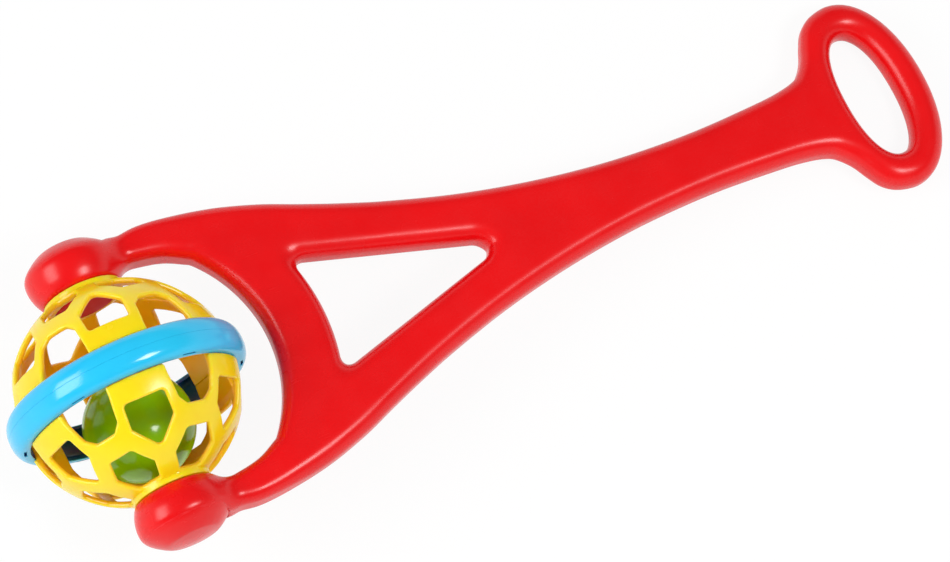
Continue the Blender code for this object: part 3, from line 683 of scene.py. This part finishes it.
# %% The cage's windows
CAGE_RADIUS = 55.0
CAGE_WALL = 3.0
WINDOWS = [
    (0.0, [(-2.0, 14.8), (14.4, 13.6), (27.2, 11.2), (31.6, 6.2)]),
    (30.0, [(21.2, 11.6), (34.3, 13.6), (48.2, 0.0)]),
    (0.0, [(43.5, 9.0), (55.0, 20.0), (67.6, 15.8)]),
]
WINDOW_CORNER = 2.2
STRUT_ROUND = 1.2
BELT_HALF_WIDTH = 9.1
BELT_RADII = (50.0, 52.8)
HUB_RADIUS = 18.6
HUB_SPAN = (48.3, 51.0)
COLLAR_RADIUS = 19.7
COLLAR_SPAN = (50.0, 53.7)
COLLAR_ROUND = 0.5
BORE_RADIUS = 16.0
SLICE = 60.0
LEAST_REACH = 0.35


def window_outline(corners):
    """One window on the plane that touches a ball of radius 1 at the window's middle: the
    corners' directions are carried out to that plane, and the outline is moved in by the
    corner radius, so that a distance less that radius gives round corners."""
    latitude, offset = np.radians(np.array(corners, float)).T
    middle = (latitude.min() + latitude.max()) / 2
    across = np.cos(latitude) * np.sin(offset)
    level, deep = np.sin(latitude), np.cos(latitude) * np.cos(offset)
    reach = level * math.sin(middle) + deep * math.cos(middle)
    up = (level * math.cos(middle) - deep * math.sin(middle)) / reach
    half = np.stack([up, across / reach], axis=1)
    other = half[::-1] * np.array([1.0, -1.0])
    whole = np.vstack([half, other[other[:, 1] < -1e-9]])
    ahead = np.roll(whole, -1, axis=0) - whole
    normal = np.stack([ahead[:, 1], -ahead[:, 0]], axis=1)
    normal = normal / np.linalg.norm(ahead, axis=1)[:, None]
    inwards = -np.sign((normal * (whole - whole.mean(axis=0))).sum(axis=1))[:, None] * normal
    level = (inwards * whole).sum(axis=1) + WINDOW_CORNER / CAGE_RADIUS
    sides = np.stack([np.roll(inwards, 1, axis=0), inwards], axis=1)
    levels = np.stack([np.roll(level, 1), level], axis=1)
    moved = np.linalg.solve(sides, levels[..., None])[: len(half), :, 0]
    outline = [(moved[0, 0], 0.0), *moved]
    if moved[-1, 1] > 1e-9:
        outline.append((moved[-1, 0], 0.0))
    return middle, np.vstack(outline)


WINDOW_SHAPES = [(turn,) + window_outline(corners) for turn, corners in WINDOWS]
print("windows in a half:", int(360 / SLICE) * len(WINDOW_SHAPES))


def windows_distance(x, y, z, far):
    """Distance to the nearest window, below zero in it. The turn about the axle is folded
    into one slice, and the point is carried along its ray to the window's plane, where the
    outline's distance is read and scaled back by how far out it is. Points well off to the
    window's side have no place on its plane, so their reach is held at a least share."""
    nearest = np.full(np.broadcast(x, y, z).shape, FAR_OFF)
    out = np.hypot(x, z)
    for turn, middle, outline in WINDOW_SHAPES:
        angle = np.degrees(np.arctan2(x, z)) - WINDOW_TURN - turn
        angle = np.radians((angle + SLICE / 2) % SLICE - SLICE / 2)
        across, deep = out * np.sin(angle), out * np.cos(angle)
        reach = y * math.sin(middle) + deep * math.cos(middle)
        reach = np.maximum(reach, LEAST_REACH * far)
        up = (y * math.cos(middle) - deep * math.sin(middle)) / reach
        flat = outline_distance(outline, up, across / reach)
        nearest = np.minimum(nearest, flat * far - WINDOW_CORNER)
    return nearest


# %% [markdown]
# The rest of a half is plain: two spheres for the shell, a belt that is set inwards under the
# ring, and an end ring that turns on the axle plug, with a low collar that faces the boss.
# The edges of the struts are rounded, which is where the light catches on the real toy.

# %% The cage


def cage_distance(x, y, z):
    """Distance to the left half of the cage, in mm from the ball's centre."""
    out = np.hypot(x, z)
    far = np.sqrt(x * x + y * y + z * z)
    inner = np.maximum(far - (CAGE_RADIUS - CAGE_WALL), out - BELT_RADII[0])
    shell = np.maximum(np.maximum(far - CAGE_RADIUS, y - HUB_SPAN[1]), -inner)
    shell = np.maximum(shell, np.minimum(BELT_HALF_WIDTH - y, out - BELT_RADII[1]))
    struts = round_meet(shell, -windows_distance(x, y, z, far), STRUT_ROUND)
    hub = np.maximum(out - HUB_RADIUS, np.maximum(HUB_SPAN[0] - y, y - HUB_SPAN[1]))
    collar = round_meet(out - COLLAR_RADIUS, y - COLLAR_SPAN[1], COLLAR_ROUND)
    collar = np.maximum(collar, COLLAR_SPAN[0] - y)
    solid = np.minimum(np.minimum(struts, hub), collar)
    return np.maximum(np.maximum(solid, BORE_RADIUS - out), SEAM - y)


CAGE_CELL = 0.65
CAGE_LOW, CAGE_HIGH = (-57.0, -2.0, -57.0), (57.0, 56.0, 57.0)
points, quads = skin(cage_distance, CAGE_LOW, CAGE_HIGH, CAGE_CELL)
for side in ("left", "right"):
    placed, faces = on_side(points, [quads], side)
    cage = make_piece("cage_shell_" + side, in_ball(placed), faces, "ball")
    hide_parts("cage_half_" + side)

# %% [markdown]
# ## Materials
#
# Colours are written as the hex values that a screen shows, and one function turns them into
# the linear numbers that the renderer works with. Each plastic is described by how it was
# made: the way the melt cooled gives the surface its faint waves, and use gives it scuffs.
# The sizes of the patterns are in millimetres as well.

# %% Tools for materials


def linear(colour):
    """Linear RGBA from a hex colour: each channel c is ((c + 0.055) / 1.055) to the power
    2.4, or c / 12.92 where it is nearly black."""
    channels = [int(colour[k : k + 2], 16) / 255 for k in (1, 3, 5)]
    return [c / 12.92 if c < 0.04045 else ((c + 0.055) / 1.055) ** 2.4 for c in channels] + [1.0]


def add(tree, kind, sockets=None, **settings):
    """A new node of a kind, with its settings, and its sockets given by name or number: a
    value is set on the socket, and another node's output is linked to it."""
    node = tree.nodes.new("ShaderNode" + kind)
    for name, value in settings.items():
        setattr(node, name, value)
    for key, value in (sockets or {}).items():
        if isinstance(value, bpy.types.NodeSocket):
            tree.links.new(value, node.inputs[key])
        else:
            node.inputs[key].default_value = value
    return node


def calculate(tree, operation, *values):
    """The result of one Math node on one, two or three values or sockets."""
    return add(tree, "Math", dict(enumerate(values)), operation=operation).outputs[0]


def spread(tree, value, start, end, low=0.0, high=1.0, **settings):
    """A value carried from start..end to low..high, and held at both ends."""
    span = {"From Min": start, "From Max": end, "To Min": low, "To Max": high}
    return add(tree, "MapRange", {"Value": value, **span}, **settings).outputs[0]


def tinted(tree, share, first, second):
    """The first colour, with a share of the second mixed in."""
    return add(tree, "Mix", {0: share, 6: first, 7: second}, data_type="RGBA").outputs[2]


def noise(tree, place, size, detail):
    """A noise from 0 to 1, whose features are about that many mm across."""
    sockets = {"Vector": place, "Scale": 1.0 / (size * MM), "Detail": detail}
    return add(tree, "TexNoise", sockets).outputs[0]


def relief(tree, place, size, height, **below):
    """The surface's direction as a noise of that size lifts it, by a height in mm."""
    sockets = {"Height": noise(tree, place, size, 2.0), "Distance": height * MM, **below}
    return add(tree, "Bump", sockets).outputs[0]


def new_material(name):
    """A material with the usual shader: the material, its nodes and that shader."""
    material = bpy.data.materials.new(name)
    material.use_nodes = True
    return material, material.node_tree, material.node_tree.nodes["Principled BSDF"]


# %% [markdown]
# One recipe makes every moulded plastic here, from the inside out: a slow drift of the colour,
# as the pigment wasn't stirred evenly; a paler tint on the edges that hands and floors have
# rubbed; a gloss that is a little uneven; hair-thin scuffs that only show in the gloss; and
# two waves of relief, one from shrinking and one from the mould. A range says between which
# two values of its noise, or of the edge's sharpness, a pattern comes in.

# %% A moulded plastic
DRIFT_SIZE, DRIFT_RANGE = 38.0, (0.35, 0.7)
EDGE_RANGE = (0.515, 0.60)
RUB_SIZE, RUB_RANGE = 5.0, (0.4, 0.75)
RUB_TINT = 0.5
RUB_DULLING = 0.12
HAIR_SIZE, HAIR_RANGE = 2.4, (0.62, 0.78)
HAIR_TURN, HAIR_STRETCH = (0.3, 0.2, 0.7), (0.12, 2.6, 1.4)
UNEVEN_SIZE, UNEVEN_SHARES = 14.0, (0.7, 1.3)
GLOW_RADIUS = (1.0, 0.5, 0.08)
GLOW_DEPTH = 8.0


def moulded(name, colour, drift, rubbed, *, roughness, index, waves, grain, scuffs,
            painted_shade=None, gloss=0.5, glow=0.0):
    """Material: colour with its drift and rubbed tint as hex, roughness, index of refraction,
    slow waves and grain as (size, height) in mm, and how strong the scuffs are. Painted shade is
    a function that gives the share of a painted shade colour at a place, with that colour. Gloss
    is the strength of the reflection, and glow is how much light wanders inside the plastic."""
    material, tree, shader = new_material(name)
    place = add(tree, "TexCoord").outputs["Object"]

    slow = spread(tree, noise(tree, place, DRIFT_SIZE, 3.0), *DRIFT_RANGE)
    paint = tinted(tree, slow, linear(colour), linear(drift))
    edge = spread(tree, add(tree, "NewGeometry").outputs["Pointiness"], *EDGE_RANGE)
    chance = spread(tree, noise(tree, place, RUB_SIZE, 4.0), *RUB_RANGE)
    worn = calculate(tree, "MULTIPLY", edge, chance)
    paint = tinted(tree, calculate(tree, "MULTIPLY", worn, RUB_TINT), paint, linear(rubbed))
    # Painted shade: a second, darker colour mixed in where little light reaches the piece.
    if painted_shade:
        share, deep = painted_shade
        paint = tinted(tree, share(tree, place), paint, linear(deep))

    stretch = {"Vector": place, "Rotation": HAIR_TURN, "Scale": HAIR_STRETCH}
    stretched = add(tree, "Mapping", stretch).outputs[0]
    hair = spread(tree, noise(tree, stretched, HAIR_SIZE, 5.0), *HAIR_RANGE, 0.0, scuffs)
    uneven = noise(tree, place, UNEVEN_SIZE, 3.0)
    level = spread(tree, uneven, 0.0, 1.0, *[share * roughness for share in UNEVEN_SHARES])
    rough = calculate(tree, "ADD", level, hair)
    dull = calculate(tree, "MULTIPLY_ADD", worn, RUB_DULLING, rough)

    wave = relief(tree, place, *waves)
    facing = relief(tree, place, *grain, Normal=wave)
    tree.links.new(paint, shader.inputs["Base Color"])
    tree.links.new(dull, shader.inputs["Roughness"])
    tree.links.new(facing, shader.inputs["Normal"])
    shader.inputs["IOR"].default_value = index
    shader.inputs["Specular IOR Level"].default_value = gloss
    shader.inputs["Subsurface Weight"].default_value = glow
    shader.inputs["Subsurface Radius"].default_value = GLOW_RADIUS
    shader.inputs["Subsurface Scale"].default_value = GLOW_DEPTH * MM
    return material


# %% [markdown]
# The cage and the ring are given painted shade on the side that is turned to the middle of the
# ball. Light that gets there has been through the yellow plastic or has bounced off it several
# times, so the cage's colour is painted a deeper orange inward. The ring's hollow underside is
# painted a deep navy, as shade.
# Both shares are worked out from where a point lies, so they follow the piece as it turns.

# %% Painted shade on the sides that look inwards
INWARD_SHADE_FROM = 0.8
UNDER_SHADE_RANGE = (0.92, 0.86)


def painted_inward_shade(tree, place):
    """Share 0 to 1 of the painted orange shade, as the distance from the ball's centre falls
    from the cage's outer radius to a little over its inner one, at four fifths of the wall."""
    ends = {0: place, 1: BALL_CENTRE * MM}
    from_centre = add(tree, "VectorMath", ends, operation="DISTANCE").outputs["Value"]
    full = CAGE_RADIUS - INWARD_SHADE_FROM * CAGE_WALL
    return spread(tree, from_centre, CAGE_RADIUS * MM, full * MM)


def painted_shade_under_ring(tree, place):
    """Share of the painted navy shade: 1 on the ring's hollow underside, 0 outside. The
    section's outside is the flattened oval where (across / half width) ** power + (rise /
    height) ** power is 1, so the sum is less inside it."""
    ends = {0: place, 1: BALL_CENTRE * MM}
    here = add(tree, "VectorMath", ends, operation="SUBTRACT").outputs[0]
    flat = {0: here, 1: (1.0, 0.0, 1.0)}
    flat = add(tree, "VectorMath", flat, operation="MULTIPLY").outputs[0]
    out = add(tree, "VectorMath", {0: flat}, operation="LENGTH").outputs["Value"]
    rise = spread(tree, out, RING_FOOT * MM, RING_RADIUS * MM)
    across = add(tree, "SeparateXYZ", {0: here}).outputs["Y"]
    across = calculate(tree, "DIVIDE", across, RING_HALF_WIDTH * MM)
    across = calculate(tree, "ABSOLUTE", across)
    powers = [calculate(tree, "POWER", value, RING_POWER) for value in (rise, across)]
    return spread(tree, calculate(tree, "ADD", *powers), *UNDER_SHADE_RANGE)


# %% [markdown]
# The handle is taken to be polyethylene, blown like a bottle. The melt is pressed out against
# the mould by air and shrinks as it cools, so its big flat faces are never quite flat:
# reflections swim a little. Polyethylene is waxy, so its gloss is soft. The cage is taken as
# polypropylene, moulded under pressure: a little glossier, with light passing into it. The
# ring and the rattle ball are made as ABS, the glossiest of the three.

# %% The plastics
red = moulded(
    "polyethylene_blow_moulded_red", "#e4070d", "#dc060c", "#ee4a50", roughness=0.26,
    index=1.49, waves=(26.0, 0.16), grain=(1.6, 0.0015), scuffs=0.03, gloss=0.4,
)
plug_red = moulded(
    "polyethylene_moulded_plug_red", "#d8060e", "#d0050c", "#e03a40", roughness=0.55,
    index=1.49, waves=(9.0, 0.02), grain=(0.8, 0.006), scuffs=0.02, gloss=0.2,
)
yellow = moulded(
    "polypropylene_moulded_yellow", "#ffdc12", "#fad30c", "#fff0a0", roughness=0.24,
    index=1.49, waves=(18.0, 0.06), grain=(1.2, 0.003), scuffs=0.03,
    # The deeper orange is painted shade on the cage's inner side.
    painted_shade=(painted_inward_shade, "#ffb60c"), glow=0.6,
)
blue = moulded(
    "abs_moulded_sky_blue", "#28c2ee", "#21b8ea", "#8fdcf4", roughness=0.16,
    index=1.53, waves=(20.0, 0.04), grain=(0.9, 0.002), scuffs=0.03,
    # The navy is painted shade on the ring's hollow underside.
    painted_shade=(painted_shade_under_ring, "#1f4f8a"),
)
green = moulded(
    "abs_moulded_leaf_green", "#86cc02", "#7cc000", "#c4dc60", roughness=0.17,
    index=1.50, waves=(20.0, 0.04), grain=(0.9, 0.002), scuffs=0.02,
)
cream = moulded(
    "polystyrene_tumbled_cream", "#e8e0c8", "#ded4b8", "#f2ecdc", roughness=0.45,
    index=1.59, waves=(3.0, 0.03), grain=(0.4, 0.006), scuffs=0.15,
)
LOOKS = {
    "handle_moulding": red,
    "cap_dome": red,
    "axle_cup": plug_red,
    "cage_shell": yellow,
    "ring_shell": blue,
    "rattle_shell": green,
}
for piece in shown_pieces():
    found = [look for start, look in LOOKS.items() if piece.name.startswith(start)]
    look = found[0] if found else cream
    piece.data.materials.clear()
    piece.data.materials.append(look)
    print(piece.name, look.name)

# %% [markdown]
# ## The floor and the background
#
# The photo's background is plain white. The floor is a pale matte card. What the camera, a
# reflection or light through a piece sees of it is mostly a plain white glow, so that it meets
# the white room without an edge. The rest is the lit card, which carries the toy's shadow.

# %% The floor
FLOOR_REACH = 6.0
FLOOR_GLOW = 0.92


def is_seen(tree):
    """1 for a ray from the camera, off a glossy surface or through a clear piece, and 0 for
    the soft light that falls on things: the largest of the three marks of the light path."""
    rays = add(tree, "LightPath").outputs
    seen = calculate(tree, "MAXIMUM", rays["Is Camera Ray"], rays["Is Glossy Ray"])
    return calculate(tree, "MAXIMUM", seen, rays["Is Transmission Ray"])


around = ((-1, -1), (1, -1), (1, 1), (-1, 1))
corners = [(x * FLOOR_REACH, y * FLOOR_REACH, 0.0) for x, y in around]
floor_data = bpy.data.meshes.new("floor")
floor_data.from_pydata(corners, [], [(0, 1, 2, 3)])
floor = bpy.data.objects.new("floor", floor_data)
bpy.context.scene.collection.objects.link(floor)
floor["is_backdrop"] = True
card, tree, shader = new_material("card_matte_white")
shader.inputs["Base Color"].default_value = linear("#f4f4f4")
shader.inputs["Roughness"].default_value = 0.9
shader.inputs["Specular IOR Level"].default_value = 0.2
part = calculate(tree, "MULTIPLY", is_seen(tree), FLOOR_GLOW)
glow = add(tree, "Emission", {"Strength": 1.0}).outputs[0]
both = add(tree, "MixShader", {0: part, 1: shader.outputs[0], 2: glow}).outputs[0]
tree.links.new(both, tree.nodes["Material Output"].inputs["Surface"])
floor_data.materials.append(card)
print("floor", 2 * FLOOR_REACH, "m wide")

# %% [markdown]
# The room has white walls and a dark ceiling: it is white up to 5 degrees over the horizon, and
# darkens from there until 30 degrees. The camera, reflections and light that passes through a
# piece all meet that same room, so the flat faces, which mirror the ceiling, keep their full
# colour. For the soft light that falls on the toy the room is an even light grey.

# %% The room
ROOM_LIGHT = 0.52
CEILING_LIGHT = 0.05
WALL_HEIGHTS = (0.09, 0.50)

world = bpy.data.worlds.new("room")
bpy.context.scene.world = world
world.use_nodes = True
tree = world.node_tree
where = add(tree, "TexCoord").outputs["Generated"]
height = add(tree, "SeparateXYZ", {0: where}).outputs["Z"]
ends = (*WALL_HEIGHTS, 1.0, CEILING_LIGHT)
walls = spread(tree, height, *ends, interpolation_type="SMOOTHSTEP")
room = {0: is_seen(tree), 2: ROOM_LIGHT, 3: walls}
strength = add(tree, "Mix", room, data_type="FLOAT").outputs[0]
background = tree.nodes["Background"]
background.inputs["Color"].default_value = (1.0, 1.0, 1.0, 1.0)
tree.links.new(strength, background.inputs["Strength"])

# %% [markdown]
# Two soft boxes stand over the table: a large one beyond the ball's end, on the left of the
# picture, and a smaller one beyond the grip's end, on its right. Their places were found from
# the bright patches on the ring and the bosses: the ray from the lens, turned back at the
# surface, leads to the lamp.

# %% Soft boxes


def soft_box(name, towards, distance, wide, high, watts):
    """An area lamp at a distance from the ball, in a direction, facing back to it."""
    data = bpy.data.lights.new(name, "AREA")
    data.shape = "RECTANGLE"
    data.size, data.size_y = wide, high
    data.energy = watts
    lamp = bpy.data.objects.new(name, data)
    towards = Vector(towards).normalized()
    lamp.location = Vector(BALL_CENTRE * MM) + towards * distance
    lamp.rotation_euler = towards.to_track_quat("Z", "Y").to_euler()
    bpy.context.scene.collection.objects.link(lamp)
    print(name, watts, "W at", [round(v, 2) for v in lamp.location])


soft_box("soft_box_far", (-0.72, 0.10, 0.62), distance=1.6, wide=1.15, high=0.75, watts=15.5)
soft_box("soft_box_near", (0.42, -0.42, 0.80), distance=1.8, wide=0.55, high=0.45, watts=13.5)
bpy.context.scene.view_settings.view_transform = "Standard"

# %% [markdown]
# ## The view
#
# The camera is where the photographer's was, as near as the photo tells: high above the ball's
# end of the toy and off to one side, looking steeply down and a little towards the grip. It
# was found by matching the outlines of the ball, the ring and the handle. The two directions
# below are the picture's right and the way that the lens looks, in the world.

# %% The camera
CAMERA_PLACE = (-0.3072, -0.4530, 1.6006)
CAMERA_RIGHT = Vector((0.9006, -0.4322, 0.0486))
CAMERA_AHEAD = Vector((0.1793, 0.2670, -0.9469))
FOCAL_LENGTH = 127.48
SENSOR_WIDTH = 36.0
camera_data = bpy.data.cameras.new("camera")
camera_data.lens = FOCAL_LENGTH
camera_data.sensor_width = SENSOR_WIDTH
camera_data.clip_start = 0.01
camera = bpy.data.objects.new("camera", camera_data)
ahead = CAMERA_AHEAD.normalized()
right = (CAMERA_RIGHT - ahead * CAMERA_RIGHT.dot(ahead)).normalized()
turn = Matrix((right, right.cross(ahead), -ahead)).transposed().to_4x4()
turn.translation = CAMERA_PLACE
camera.matrix_world = turn
bpy.context.scene.collection.objects.link(camera)
bpy.context.scene.camera = camera
print("camera", CAMERA_PLACE, "lens", FOCAL_LENGTH, "mm")

# %% [markdown]
# Last, the finished look is measured. Its box and the CAD part's are printed in millimetres.

# %% Size and finish
final_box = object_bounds()
for name, box in (("cad", cad_box), ("look", final_box)):
    print(name, [[round(v / MM, 2) for v in corner] for corner in box])
